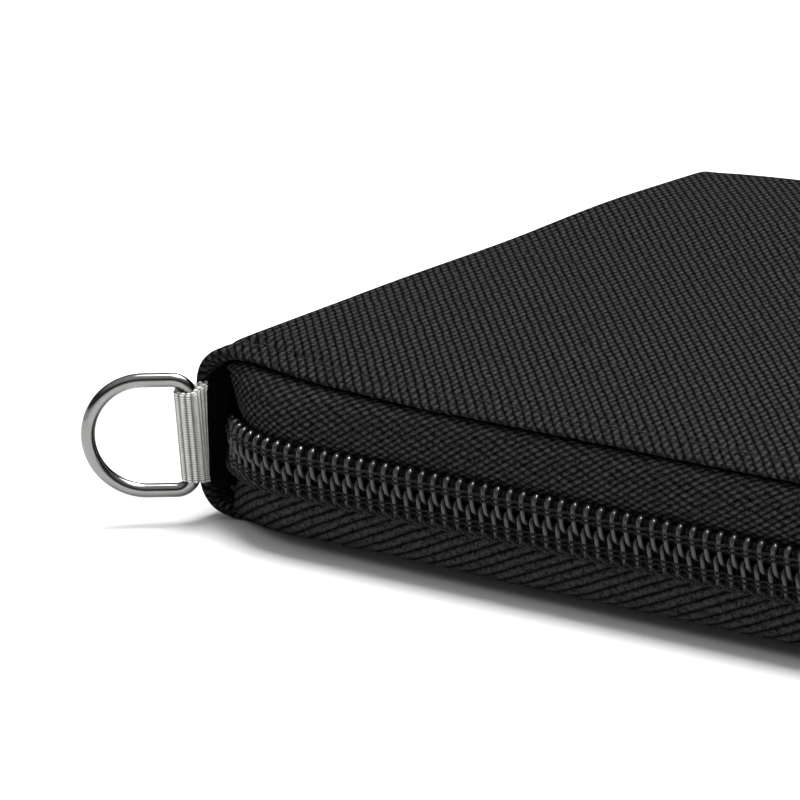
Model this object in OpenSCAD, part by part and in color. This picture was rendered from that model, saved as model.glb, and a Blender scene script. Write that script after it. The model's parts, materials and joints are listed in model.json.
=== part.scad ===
// Zip-around passport holder wallet, closed and lying on its back cover.
// +Z is up. The origin is the centre of the back cover's flat outside face.
// +X runs along the long side, away from the spine, and +Y across it.

/* [Body] */
// Length of the closed cover, from the spine to the far end
body_l = 142; // [136:1:160]
// Width of the closed cover, along the spine
body_w = 102; // [98:1:116]
// Thickness of the closed wallet
body_t = 19.6; // [19.4:0.1:21]
// Plan radius of the two corners away from the spine
corner_r = 15; // [10:1:20]
// Outside radius of the cover where it wraps round the spine
wrap_r = 5; // [4.5:0.1:5.5]
// How far the cover's edge draws in beside the spine
draw_in = 4.5; // [3:0.5:5]
// Length of the stretch of edge that draws in
draw_l = 56; // [50:1:60]

/* [Layers] */
// Thickness of the cover fabric with its backing
cover_t = 0.9; // [0.7:0.1:1]
// Thickness of the stiffening board
board_t = 1.2; // [0.8:0.1:1.2]
// Thickness of the lining fabric
lining_t = 0.4; // [0.3:0.1:0.4]
// Thickness of a pocket panel
panel_t = 0.5; // [0.4:0.1:0.5]
// Clear depth of the passport pocket
passport_gap = 4.7; // [4.4:0.1:4.7]
// Clear depth of a card pocket
card_gap = 0.9; // [0.8:0.05:0.9]
// Clear width of the passport pocket
passport_w = 92; // [90:0.5:92]

/* [Zip] */
// Distance that the middle of the coil stands out from the cover's edge
coil_out = 1.7; // [1.5:0.1:2]
// Height of the lower side of the closed chain
chain_low = 6.4; // [6.2:0.1:6.6]
// Height of the upper side of the closed chain
chain_high = 11.9; // [11.7:0.1:12]
// Thickness of the coil
coil_t = 1.7; // [1.5:0.1:1.7]
// Thickness of the zip tape
tape_t = 0.6; // [0.4:0.1:0.6]
// Width of the tape's sewn margin under the cover
tape_margin = 6; // [5:0.5:7]
// Plan radius of the chain where it turns in beside the spine
tuck_r = 17; // [15:0.5:18]
// Length of the slider
slider_l = 9; // [8:0.5:9]
// Length of the pull tab beyond its loop
pull_l = 18; // [12:1:24]
// Width of the pull tab
pull_w = 5; // [4.6:0.1:6]

/* [Ring] */
// Diameter of the ring's wire
wire_d = 1.6; // [1.4:0.1:1.6]
// Outside height of the ring, along its straight bar
ring_h = 13.9; // [13.5:0.1:14.5]
// Depth of the ring, from the bar's middle to the outside of the bow
ring_depth = 11.7; // [11:0.1:13]
// Width of the webbing that holds the ring
web_w = 10.4; // [9:0.1:10.4]
// Thickness of one layer of webbing
web_t = 0.8; // [0.6:0.1:0.8]
// Direction of the ring in plan, from the +X axis
ring_dir = -142.4; // [-150:0.1:-135]

/* [Hidden] */
$fn = 48;

// Plan of the cover
spine_x = -body_l / 2;
edge_x0 = spine_x + wrap_r;
half_w = body_w / 2;
draw_x = edge_x0 + draw_l;
spine_half = half_w - 3.5;
corner_steps = 8;
draw_steps = 6;
tuck_steps = 6;

// The chain's turn beside the spine
tuck_x = -54;
tuck_angle = 46;
chain_angle = 40;
stop_angles = [41.5, 46];
top_stop_angles = [10, 15];

// Heights of the layers, back half and front half
under_front = body_t - cover_t;
chain_mid = (chain_low + chain_high) / 2;
split_gap = 1.1;
coil_z = [chain_low, chain_mid - split_gap / 2];
front_coil_z = [chain_mid + split_gap / 2, chain_high];
board_inset = tape_margin + 1;
lining_inset = 2.4;
lining_z = cover_t + board_t;
front_lining_z = body_t - lining_z - lining_t;
seam = 0.6;

// Passport pocket, on the back half
pocket_z = lining_z + lining_t + passport_gap;
pocket_x = [-30, body_l / 2 - 8.5];
pocket_half = passport_w / 2 + seam;
binding_w = 3;
binding_t = 0.3;

// Note pocket and stepped card pockets, on the front half
note_x = [-34, body_l / 2 - 7];
note_half = 45;
card_x = [4, 16, 28];
card_end = 62;
card_half = 44;
card_pitch = card_gap + panel_t;
note_z = front_lining_z - card_pitch;

// Spine, webbing and ring
arc_gap = 2;
spine_board_t = 0.8;
tail_t = 2 * web_t;
tail_x = spine_x + cover_t + spine_board_t + lining_t + 0.05;
tail_l = 11;
root = [tail_x + tail_t / 2, -spine_half];
bar = [-70, -50.1];
wire_r = wire_d / 2;
eye_r = wire_r + 0.08;
web_clear = 0.3;
mid_z = body_t / 2;
bar_half = ring_h / 2 - wire_r;
bow_x = ring_depth - wire_r - bar_half;

// Slider, its crown and the pull tab, at the closed end of the far side
slide_x = -52;
slide_y = half_w + coil_out;
fit_gap = 0.3;
mouth_gap = 0.5;
plate_t = 1;
flange_t = 0.9;
flange_z = [chain_low - 0.25, chain_high + 0.25];
outer_y = slide_y + coil_t / 2 + fit_gap;
inner_y = slide_y - coil_t / 2 - tape_t - fit_gap;
mouth_x = slide_x + slider_l / 2 + mouth_gap;
crown_w = 2.4;
crown_t = 0.5;
crown_l = 6.4;
pin_r = 0.6;
pin_gap = 0.25;
pin_y = outer_y + plate_t + pin_gap + pin_r;
crown_y = pin_y + pin_r + pin_gap;
arm_t = 0.9;
arm_z = crown_w / 2 + 0.25;
arm_l = crown_l / 2 + 1.6;

// Distance from the middle of the cover to its edge, at x
function edge_y(x) = half_w - draw_in * pow(max(0, (draw_x - x) / draw_l), 4);

// Angle of the chain's turn at step i
function tuck_at(i) = tuck_angle * (1 - i / tuck_steps);

// Half of the cover's edge, from the spine to the middle of the far end
edge_half = concat(
  [for (i = [0:tuck_steps]) let (
      x = tuck_x - (tuck_x - edge_x0) * sin(tuck_at(i)) / sin(tuck_angle)
    ) [x, -edge_y(x)]],
  [for (i = [1:draw_steps]) let (x = tuck_x + (draw_x - tuck_x) * i / draw_steps) [x, -edge_y(x)]],
  corner(corner_r)
);

// Half of the chain's middle line, with a point for each point of the edge
chain_half = concat(
  [for (i = [0:tuck_steps]) turn(tuck_at(i))],
  [for (i = [1:draw_steps]) [tuck_x + (draw_x - tuck_x) * i / draw_steps, -half_w - coil_out]],
  corner(corner_r + coil_out)
);

// One outer corner, as an arc of radius r about the corner's centre
function corner(r) = [for (i = [0:corner_steps]) let (a = -90 + 90 * i / corner_steps)
  [body_l / 2 - corner_r + r * cos(a), -(half_w - corner_r) + r * sin(a)]];

// A point of the chain's turn beside the spine
function turn(a, out = 0) = let (r = tuck_r + out)
  [tuck_x - r * sin(a), -(half_w + coil_out - tuck_r) - r * cos(a)];

// The same path on both sides of the X axis
function both(half) = concat(half, [for (i = [len(half) - 1:-1:0]) [half[i].x, -half[i].y]]);

edge = both(edge_half);
chain = both(chain_half);
last = len(chain) - 1;

// Outward unit normal of a path at point i
function normal(path, i) = let (
    a = path[max(0, i - 1)],
    b = path[min(len(path) - 1, i + 1)],
    d = (b - a) / norm(b - a)
  ) [d.y, -d.x];

// A path moved outward by d
function moved(path, d) = [for (i = [0:len(path) - 1]) path[i] + d * normal(path, i)];

// A list in reverse order
function reversed(list) = [for (i = [len(list) - 1:-1:0]) list[i]];

// A point between the cover's edge (t = 0) and the chain (t = 1), moved outward by d, at height z
function rim(i, p) = let (q = edge[i] * (1 - p[0]) + chain[i] * p[0] + p[1] * normal(chain, i)) [q.x, q.y, p[2]];

// A ribbon that follows the rim. outer and inner are lists of [t, d, z], of equal length.
module rim_ribbon(outer, inner) {
  m = len(outer);
  ring = concat(outer, reversed(inner));
  n = 2 * m;
  points = [for (i = [0:last]) for (p = ring) rim(i, p)];
  sides = [for (i = [0:last - 1]) for (j = [0:n - 1]) let (
      a = i * n + j,
      b = i * n + (j + 1) % n
    ) each [[a, b, b + n], [a, b + n, a + n]]];
  caps = [for (j = [0:m - 2]) let (k = n - 1 - j, e = last * n) each [
      [j, k, k - 1], [j, k - 1, j + 1], [e + j, e + k - 1, e + k], [e + j, e + j + 1, e + k - 1]
    ]];
  polyhedron(points = points, faces = concat(sides, caps));
}

// Point of the chain at x on the far side
function far_side(x) = [x, slide_y - tuck_r + sqrt(pow(tuck_r, 2) - pow(max(0, tuck_x - x), 2))];

// A strip along the chain from the near end to end_x on the far side
module chain_strip(end_x, z) {
  near = [for (i = [0:last]) if (!(chain[i].y > 0 && chain[i].x < end_x + 1)) chain[i]];
  trimmed = [for (i = [1:len(near) - 1]) near[i]];
  line = concat([turn(chain_angle)], trimmed, [far_side(end_x)]);
  translate([0, 0, z[0]])
    linear_extrude(z[1] - z[0])
      polygon(concat(moved(line, coil_t / 2), reversed(moved(line, -coil_t / 2))));
}

// A stop clamped on the chain's line between two angles of its turn
module stop(angles, z) {
  a = [for (t = [angles[0], angles[1]]) turn(t, coil_t / 2)];
  b = [for (t = [angles[1], angles[0]]) turn(t, -coil_t / 2)];
  translate([0, 0, z[0]])
    linear_extrude(z[1] - z[0])
      polygon(concat(a, b));
}

// Plan of the cover, drawn in from its edge by inset and starting at x0
module cover_plan(inset, x0) {
  intersection() {
    polygon(moved(edge, -inset));
    translate([x0, -body_w])
      square([body_l, 2 * body_w]);
  }
}

// A flat layer of the cover's plan
module layer(inset, x0, z, t) {
  translate([0, 0, z])
    linear_extrude(t)
      cover_plan(inset, x0);
}

// A stretch of the wrapped fabric, in the X-Z plane, between two angles about the lower corner's centre
module wrap_arc(from, to) {
  centre = [edge_x0, wrap_r];
  reach = 2 * wrap_r;
  translate(centre)
    intersection() {
      difference() {
        circle(wrap_r);
        circle(wrap_r - cover_t);
      }
      polygon([[0, 0], reach * [cos(from), sin(from)], reach * [cos(to), sin(to)]]);
    }
}

// Turns a profile in the X-Z plane into a bar along Y
module along_y(half) {
  translate([0, half, 0])
    rotate([90, 0, 0])
      linear_extrude(2 * half)
        children();
}

// Fabric of one cover with its half of the wrapped corner
module cover_fabric() {
  layer(0, edge_x0, 0, cover_t);
  along_y(edge_y(edge_x0))
    wrap_arc(225 + arc_gap, 270);
}

// Carries a back-half piece to the front half
module to_front() {
  translate([0, 0, body_t])
    mirror([0, 0, 1])
      children();
}

// A pocket panel with a seam on three sides. z is the panel's open-side face, depth the seam's height.
module pocket(x, half, z, depth) {
  difference() {
    translate([x[0], -half, z - depth])
      cube([x[1] - x[0], 2 * half, depth + panel_t]);
    translate([x[0] - 1, seam - half, z - depth - 1])
      cube([x[1] - x[0] - seam + 1, 2 * (half - seam), depth + 1]);
  }
}

// A folded binding on a pocket's mouth
module binding(x, half, z) {
  translate([x, -half, z])
    cube([binding_w, 2 * half, binding_t]);
}

module back_cover_fabric() {
  color("#1b1b1d")
    cover_fabric();
}

module back_board() {
  color("#8a8a86")
    layer(board_inset, edge_x0 + 2, cover_t, board_t);
}

module back_lining() {
  color("#3a3b3f")
    layer(lining_inset, edge_x0 + 1, lining_z, lining_t);
}

// Points of the tape's outer face and inner face: margin, bend, chain's side and free edge
function tape_outer(z0, z1, z2) = [
  [0, -tape_margin, z0],
  [0, -0.8, z0],
  [1, -coil_t / 2, z1],
  [1, -coil_t / 2, z2]
];

function tape_inner(z0, z1, z2, s) = [
  [0, -tape_margin, z0 + s * tape_t],
  [0, -0.8 - tape_t, z0 + s * tape_t],
  [1, -coil_t / 2 - tape_t, z1 + s * 0.1],
  [1, -coil_t / 2 - tape_t, z2]
];

module back_zip_tape() {
  color("#202022")
    rim_ribbon(
      tape_outer(cover_t, chain_low, coil_z[1]),
      tape_inner(cover_t, chain_low, coil_z[1], 1)
    );
}

module back_zip_coil() {
  color("#2c2c2e")
    chain_strip(slide_x - slider_l / 2, coil_z);
}

module back_zip_stops() {
  color("#4a4a4e") {
    stop(stop_angles, coil_z);
    mirror([0, 1, 0])
      stop(top_stop_angles, coil_z);
  }
}

module passport_pocket() {
  color("#2f3034")
    pocket(pocket_x, pocket_half, pocket_z, passport_gap);
}

module passport_pocket_binding() {
  color("#151517")
    binding(pocket_x[0], pocket_half, pocket_z + panel_t);
}

module spine_fabric() {
  color("#1b1b1d")
    along_y(spine_half) {
      wrap_arc(180, 225 - arc_gap);
      translate([spine_x, wrap_r])
        square([cover_t, body_t - 2 * wrap_r]);
      translate([0, body_t])
        mirror([0, 1])
          wrap_arc(180, 225 - arc_gap);
    }
}

module spine_board() {
  color("#8a8a86")
    translate([spine_x + cover_t, 1.5 - spine_half, wrap_r])
      cube([spine_board_t, 2 * (spine_half - 1.5), body_t - 2 * wrap_r]);
}

module spine_lining() {
  color("#3a3b3f")
    translate([spine_x + cover_t + spine_board_t, 1 - spine_half, wrap_r - 0.4])
      cube([lining_t, 2 * (spine_half - 1), body_t - 2 * wrap_r + 0.8]);
}

// Doubled webbing sewn inside the end of the spine
module webbing_tail() {
  color("#c9c9c6")
    translate([tail_x, root.y + tail_t / 2 + web_clear, mid_z - web_w / 2])
      cube([tail_t, tail_l, web_w]);
}

module front_cover_fabric() {
  color("#1b1b1d")
    to_front()
      cover_fabric();
}

module front_board() {
  color("#8a8a86")
    to_front()
      layer(board_inset, edge_x0 + 2, cover_t, board_t);
}

module front_lining() {
  color("#3a3b3f")
    layer(lining_inset, edge_x0 + 1, front_lining_z, lining_t);
}

module front_zip_tape() {
  color("#202022")
    rim_ribbon(
      tape_inner(under_front, chain_high, front_coil_z[0], -1),
      tape_outer(under_front, chain_high, front_coil_z[0])
    );
}

module front_zip_coil() {
  color("#2c2c2e")
    chain_strip(mouth_x, front_coil_z);
}

module front_zip_stops() {
  color("#4a4a4e") {
    stop(stop_angles, front_coil_z);
    mirror([0, 1, 0])
      stop(top_stop_angles, front_coil_z);
  }
}

// Flat pocket that hangs below the height top
module flat_pocket(x, half, top) {
  translate([0, 0, top])
    mirror([0, 0, 1])
      pocket(x, half, card_gap, card_gap);
}

module note_pocket() {
  color("#2f3034")
    flat_pocket(note_x, note_half, front_lining_z);
}

module note_pocket_binding() {
  color("#151517")
    binding(note_x[0], note_half, note_z - binding_t);
}

// Stepped card pocket, number i
module card_pocket(i) {
  color("#34353a")
    flat_pocket([card_x[i], card_end], card_half, note_z - i * card_pitch);
}

module card_pocket_binding() {
  color("#151517")
    for (i = [0:len(card_x) - 1])
      binding(card_x[i], card_half, note_z - (i + 1) * card_pitch - binding_t);
}

// Webbing folded round the ring's bar and brought back to the spine
module webbing_loop() {
  run = bar - root;
  color("#d2d2cf")
    translate([0, 0, mid_z - web_w / 2])
      linear_extrude(web_w)
        difference() {
          union() {
            translate(root)
              circle(tail_t / 2);
            translate(bar)
              circle(eye_r + web_t);
            translate(root)
              rotate(atan2(run.y, run.x))
                translate([0, -tail_t / 2])
                  square([norm(run), tail_t]);
          }
          translate(bar)
            circle(eye_r);
        }
}

// D-shaped ring: a straight bar, two short legs and a half-round bow
module d_ring() {
  color("#55565a")
    translate([bar.x, bar.y, mid_z])
      rotate([0, 0, ring_dir]) {
        cylinder(r = wire_r, h = 2 * bar_half, center = true);
        for (s = [-1, 1])
          translate([0, 0, s * bar_half]) {
            sphere(wire_r);
            rotate([0, 90, 0])
              cylinder(r = wire_r, h = bow_x);
          }
        translate([bow_x, 0, 0])
          rotate([90, 0, 0])
            rotate([0, 0, -90])
              rotate_extrude(angle = 180)
                translate([bar_half, 0])
                  circle(wire_r);
      }
}

// Two plates that hold the chain between them, joined by a post at the dividing end
module slider_body() {
  flange_y = slide_y - coil_t / 2 + fit_gap;
  color("#5b5c60")
    translate([slide_x - slider_l / 2, 0, 0]) {
      translate([0, outer_y, flange_z[0] - flange_t])
        cube([slider_l, plate_t, flange_z[1] - flange_z[0] + 2 * flange_t]);
      for (z = [flange_z[0] - flange_t, flange_z[1]])
        translate([0, flange_y, z])
          cube([slider_l, outer_y - flange_y, flange_t]);
      translate([0, inner_y - plate_t, chain_low + 0.1])
        cube([slider_l, plate_t, chain_high - chain_low - 0.5]);
      translate([0, inner_y, chain_mid - 0.28])
        cube([2.4, outer_y - inner_y, 0.56]);
    }
}

// Bent strap on the slider that keeps the pull link
module slider_crown() {
  color("#5b5c60")
    translate([slide_x - crown_l / 2, outer_y + plate_t, chain_mid - crown_w / 2])
      difference() {
        cube([crown_l, crown_y + crown_t - outer_y - plate_t, crown_w]);
        translate([crown_t, -1, -1])
          cube([crown_l - 2 * crown_t, crown_y - outer_y - plate_t + 1, crown_w + 2]);
      }
}

// Link that turns in the crown: a pin, two arms and a cross bar
module pull_link() {
  color("#5b5c60")
    translate([slide_x, pin_y, chain_mid]) {
      cylinder(r = pin_r, h = 2 * (arm_z + arm_t), center = true);
      for (z = [-arm_z - arm_t, arm_z])
        translate([0, -pin_r, z])
          cube([arm_l, 2 * pin_r, arm_t]);
      translate([arm_l, -pin_r, -arm_z - arm_t])
        cube([1, 2 * pin_r, 2 * (arm_z + arm_t)]);
    }
}

// Flat tab held by the link
module pull_tab() {
  hole_r = 1.2;
  start = arm_l + 1;
  color("#2a2a2c")
    translate([slide_x, pin_y + pin_r, chain_mid])
      rotate([90, 0, 0])
        linear_extrude(2 * pin_r)
          difference() {
            union() {
              translate([start, -pull_w / 2])
                square([pull_l - pull_w / 2, pull_w]);
              translate([start + pull_l - pull_w / 2, 0])
                circle(pull_w / 2);
            }
            translate([start + pull_l - pull_w / 2, 0])
              circle(hole_r);
          }
}

back_cover_fabric();
back_board();
back_lining();
back_zip_tape();
back_zip_coil();
back_zip_stops();
passport_pocket();
passport_pocket_binding();
spine_fabric();
spine_board();
spine_lining();
webbing_tail();
front_cover_fabric();
front_board();
front_lining();
front_zip_tape();
front_zip_coil();
front_zip_stops();
note_pocket();
note_pocket_binding();
card_pocket(0);  // card_pocket_1
card_pocket(1);  // card_pocket_2
card_pocket(2);  // card_pocket_3
card_pocket_binding();
webbing_loop();
d_ring();
slider_body();
slider_crown();
pull_link();
pull_tab();
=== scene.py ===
"""Looks of the zip-around passport holder wallet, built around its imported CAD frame.

Lengths are in millimetres up to new_mesh(), which turns them into metres. The stage is in metres.
The front half is the upper one. What is built for it is mirrored for the back half.
"""

import json
import math

import bmesh
import bpy
import numpy as np
from mathutils import Matrix, Vector


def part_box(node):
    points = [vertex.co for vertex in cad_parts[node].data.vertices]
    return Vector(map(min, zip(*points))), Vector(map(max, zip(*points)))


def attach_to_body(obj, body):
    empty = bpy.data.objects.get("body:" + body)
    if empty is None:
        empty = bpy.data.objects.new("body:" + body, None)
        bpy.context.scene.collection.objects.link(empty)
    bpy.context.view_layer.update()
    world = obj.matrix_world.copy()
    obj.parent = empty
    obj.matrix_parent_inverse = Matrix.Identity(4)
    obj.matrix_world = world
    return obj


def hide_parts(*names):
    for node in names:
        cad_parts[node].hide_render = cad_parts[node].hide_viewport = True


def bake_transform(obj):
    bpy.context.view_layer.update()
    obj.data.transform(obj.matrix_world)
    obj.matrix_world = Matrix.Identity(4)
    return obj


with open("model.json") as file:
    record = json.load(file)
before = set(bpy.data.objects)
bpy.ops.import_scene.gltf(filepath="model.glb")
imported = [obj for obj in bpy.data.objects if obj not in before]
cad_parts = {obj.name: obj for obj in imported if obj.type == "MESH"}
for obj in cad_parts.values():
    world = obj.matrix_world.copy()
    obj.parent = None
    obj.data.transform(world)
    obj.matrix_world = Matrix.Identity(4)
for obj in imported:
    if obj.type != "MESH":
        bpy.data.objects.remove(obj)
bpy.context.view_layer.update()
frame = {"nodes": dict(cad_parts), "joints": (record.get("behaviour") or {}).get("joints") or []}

MM = 0.001


def box_mm(node):
    """Lowest and highest corner of a CAD node, in millimetres."""
    low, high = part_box(node)
    return np.array(low) / MM, np.array(high) / MM


def joint_at(name):
    """A joint's position, in millimetres."""
    found = next(j for j in frame["joints"] if j["name"] == name)
    return np.array(found["pos_m"]) / MM


# -------- sizes taken from the frame

COVER_HIGH = box_mm("back_cover_fabric")[1]
SPINE_LOW, SPINE_HIGH = box_mm("spine_fabric")
TOP = box_mm("front_cover_fabric")[1][2]
MID_Z = TOP / 2
END_X = COVER_HIGH[0]
HALF_W = COVER_HIGH[1]
SPINE_X = SPINE_LOW[0]
SPINE_HALF = SPINE_HIGH[1]
CHAIN_LOW = box_mm("back_zip_coil")[0][2]
CHAIN_HIGH = box_mm("front_zip_coil")[1][2]
CHAIN_Z = (CHAIN_LOW + CHAIN_HIGH) / 2
LINING_LOW, LINING_HIGH = box_mm("front_lining")
BAR = joint_at("ring_swing")
ROOT = joint_at("loop_flex")
PIN = joint_at("pull_swing")

# -------- shape rules shared with the CAD

WRAP_R = 5.0
CORNER_R = 15.0
# How far the cover's edge draws in towards the spine, and over what length
DRAW_IN = 4.5
DRAW_L = 56.0
# How far the chain's middle stands out from the edge
COIL_OUT = 1.7
# The bend where the chain tucks in behind the spine
TUCK_R = 17.0
TUCK_X = -54.0
TUCK_ANGLE = math.radians(48)
EDGE_X0 = SPINE_X + WRAP_R
DRAW_X = EDGE_X0 + DRAW_L
CORNER_X = END_X - CORNER_R
CORNER_Y = HALF_W - CORNER_R

# -------- soft shapes

# How far the sewn edges lie below the cover's flat face
CROWN = 1.2
# Thickness of the folded hem along the zip, and of the rolled hem at the spine's ends
HEM_T = 0.5
SPINE_HEM_T = 1.5
# How far the spine's ends flare outwards
SPINE_FLARE = 0.75
# Stitch length, and the stitch line's distance from the edge
STITCH = 3.2
STITCH_IN = 3.0
# Spacing of the coil's turns and radius of its wire
COIL_PITCH = 1.6
WIRE = 0.26

# -------- small tools


def smooth(x):
    """Smooth step from 0 to 1."""
    x = np.clip(x, 0, 1)
    return x * x * (3 - 2 * x)


def wobble(x, seed, scale):
    """Slow random wobble between about -1 and 1, the same on every run."""
    phases = np.random.default_rng(seed).uniform(0, 2 * math.pi, 4)
    x = np.asarray(x, float)
    return sum(np.sin(x / scale * k + phases[k - 1]) / k for k in range(1, 5)) / 2


def add_object(name, data):
    """A new object in the scene."""
    made = bpy.data.objects.new(name, data)
    bpy.context.scene.collection.objects.link(made)
    return made


def new_mesh(name, verts, faces, uv=None, material=None, sharp=None):
    """A mesh object from points in millimetres. uv is one (u, v) for each point."""
    mesh = bpy.data.meshes.new(name)
    mesh.from_pydata((np.asarray(verts, float) * MM).tolist(), [], [tuple(f) for f in faces])
    shape = bmesh.new()
    shape.from_mesh(mesh)
    bmesh.ops.recalc_face_normals(shape, faces=shape.faces)
    shape.to_mesh(mesh)
    shape.free()
    if uv is not None:
        layer = mesh.uv_layers.new(name="UVMap")
        index = np.zeros(len(mesh.loops), int)
        mesh.loops.foreach_get("vertex_index", index)
        layer.data.foreach_set("uv", np.asarray(uv, float)[index].ravel())
    mesh.polygons.foreach_set("use_smooth", np.ones(len(mesh.polygons), bool))
    if sharp is not None:
        mesh.set_sharp_from_angle(angle=math.radians(sharp))
    mesh.update()
    if material is not None:
        mesh.materials.append(material)
    return add_object(name, mesh)


def attach(piece, body, nodes=()):
    """Puts a piece on a body and hides the CAD nodes it stands for."""
    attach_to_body(piece, body)
    if nodes:
        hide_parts(*nodes)
    return piece


def grid_faces(rows, cols, close_rows=False, close_cols=False):
    """Quads of a grid of points stored row by row."""
    i = np.arange(rows if close_rows else rows - 1)
    j = np.arange(cols if close_cols else cols - 1)
    a, b = np.meshgrid(i, j, indexing="ij")
    a2, b2 = (a + 1) % rows, (b + 1) % cols
    corners = (a * cols + b, a * cols + b2, a2 * cols + b2, a2 * cols + b)
    return np.stack(corners, -1).reshape(-1, 4).tolist()


def closed_layers(faces, loop, count):
    """Faces of two layers of count points each, joined by a wall along a loop of points."""
    wall = [[p, q, q + count, p + count] for p, q in zip(loop[:-1], loop[1:])]
    return faces + [[k + count for k in face] for face in faces] + wall


def merge(parts):
    """Joins (verts, faces) or (verts, faces, uv) parts into one."""
    verts, faces, uvs, start = [], [], [], 0
    for part in parts:
        verts.append(np.asarray(part[0], float))
        faces += [[k + start for k in face] for face in part[1]]
        uvs += [part[2]] if len(part) > 2 else []
        start += len(part[0])
    joined = (np.concatenate(verts), faces)
    return (*joined, np.concatenate(uvs)) if uvs else joined


def tube(path, radius, sides=8, closed=False, squash=1.0, up=(0, 0, 1)):
    """(verts, faces, uv) of a round bar along a path. squash flattens it along up."""
    path = np.asarray(path, float)
    n = len(path)
    tangent = np.roll(path, -1, 0) - np.roll(path, 1, 0) if closed else np.gradient(path, axis=0)
    tangent /= np.linalg.norm(tangent, axis=1)[:, None]
    side = np.cross(tangent, np.broadcast_to(np.asarray(up, float), path.shape))
    side /= np.maximum(np.linalg.norm(side, axis=1), 1e-9)[:, None]
    top = np.cross(side, tangent)
    angle = np.arange(sides) * 2 * math.pi / sides
    radius = np.broadcast_to(np.asarray(radius, float), (n,))
    ring = side[:, None] * np.cos(angle)[:, None] + top[:, None] * np.sin(angle)[:, None] * squash
    verts = (path[:, None] + ring * radius[:, None, None]).reshape(-1, 3)
    faces = grid_faces(n, sides, close_rows=closed, close_cols=True)
    if not closed:
        faces += [list(range(sides)), [(n - 1) * sides + k for k in range(sides)]]
    uv = np.stack([np.repeat(lengths(path), sides), np.tile(np.arange(sides) / sides, n)], 1)
    return verts, faces, uv


def spline(points, per_step):
    """Catmull-Rom curve through the points."""
    p = np.asarray(points, float)
    t = np.arange(per_step)[:, None] / per_step
    out = []
    for i in range(len(p) - 1):
        a, b, c, d = p[max(i - 1, 0)], p[i], p[i + 1], p[min(i + 2, len(p) - 1)]
        bend = (2 * a - 5 * b + 4 * c - d) * t**2 + (3 * b - a - 3 * c + d) * t**3
        out.append(0.5 * (2 * b + (c - a) * t + bend))
    return np.concatenate([*out, p[-1:]])


def lengths(line):
    """Distance along a line at each of its points."""
    return np.concatenate([[0], np.cumsum(np.linalg.norm(np.diff(line, axis=0), axis=1))])


def right_normals(line):
    """Unit normals on the right of a line in a plane."""
    tangent = np.gradient(line, axis=0)
    tangent /= np.linalg.norm(tangent, axis=1)[:, None]
    return np.stack([tangent[:, 1], -tangent[:, 0]], 1)


def at_length(line, s):
    """Points of a line at distances s along it."""
    along = lengths(line)
    return np.stack([np.interp(s, along, line[:, k]) for k in range(line.shape[1])], -1)


def rounded(corners, radius, steps=5):
    """Outline with each corner rounded off."""
    corners = np.asarray(corners, float)
    out = []
    for i, corner in enumerate(corners):
        before, after = corners[i - 1] - corner, corners[(i + 1) % len(corners)] - corner
        cut = min(radius, np.linalg.norm(before) / 2.2, np.linalg.norm(after) / 2.2)
        start = corner + before / np.linalg.norm(before) * cut
        end = corner + after / np.linalg.norm(after) * cut
        for t in np.linspace(0, 1, steps):
            out.append((1 - t) ** 2 * start + 2 * t * (1 - t) * corner + t**2 * end)
    return np.array(out)


def slab(outline, low, high, bevel, place):
    """(verts, faces) of a bevelled plate. place maps (u, v, w) arrays to points."""
    shape = bmesh.new()
    rims = [[shape.verts.new((u, v, w)) for u, v in outline] for w in (low, high)]
    n = len(outline)
    shape.faces.new(rims[0][::-1])
    shape.faces.new(rims[1])
    for i in range(n):
        shape.faces.new((rims[0][i], rims[0][(i + 1) % n], rims[1][(i + 1) % n], rims[1][i]))
    edges = [e for e in shape.edges if abs(e.verts[0].co.z - e.verts[1].co.z) < 1e-6]
    bmesh.ops.bevel(shape, geom=edges, offset=bevel, segments=3, profile=0.5, affect="EDGES")
    shape.verts.index_update()
    verts = np.array([v.co[:] for v in shape.verts])
    faces = [[v.index for v in f.verts] for f in shape.faces]
    shape.free()
    return np.stack(place(*verts.T), -1), faces


def mirrored(verts):
    """The same points on the back half."""
    out = np.array(verts, float)
    out[:, 2] = np.maximum(TOP - out[:, 2], 0)
    return out


# -------- the rim: cover edge and zip chain


def edge_y(x):
    """Half width of the cover at x, short of the rounded corners."""
    return HALF_W - DRAW_IN * np.clip((DRAW_X - np.asarray(x, float)) / DRAW_L, 0, None) ** 4


def rim_half(step):
    """Matching points of the cover's edge and the chain's middle, from the spine to the far end."""
    a = np.linspace(TUCK_ANGLE, 0, int(TUCK_R * TUCK_ANGLE / step))
    chain = [np.stack([TUCK_X - TUCK_R * np.sin(a), TUCK_R - HALF_W - COIL_OUT - TUCK_R * np.cos(a)], 1)]
    x = TUCK_X - (TUCK_X - SPINE_X - 3.4) * np.sin(a) / math.sin(TUCK_ANGLE)
    edge = [np.stack([x, -edge_y(np.maximum(x, EDGE_X0)) - 0.25 * np.clip(EDGE_X0 - x, 0, None)], 1)]
    x = np.linspace(TUCK_X, CORNER_X, int((CORNER_X - TUCK_X) / step))[1:]
    chain.append(np.stack([x, np.full(len(x), -HALF_W - COIL_OUT)], 1))
    edge.append(np.stack([x, -edge_y(x)], 1))
    b = np.linspace(-math.pi / 2, 0, int(CORNER_R * 1.6 / step))[1:]
    y = np.linspace(-CORNER_Y, 0, int(CORNER_Y / step))[1:]
    for out, line in ((COIL_OUT, chain), (0, edge)):
        r = CORNER_R + out
        line.append(np.stack([CORNER_X + r * np.cos(b), -CORNER_Y + r * np.sin(b)], 1))
        line.append(np.stack([np.full(len(y), END_X + out), y], 1))
    return np.concatenate(edge), np.concatenate(chain)


def rim(step):
    """The whole rim: edge points, chain points, outward normals and distances along the chain."""
    edge, chain = (np.concatenate([half, half[-2::-1] * [1, -1]]) for half in rim_half(step))
    return edge, chain, right_normals(chain), lengths(chain)


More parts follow.
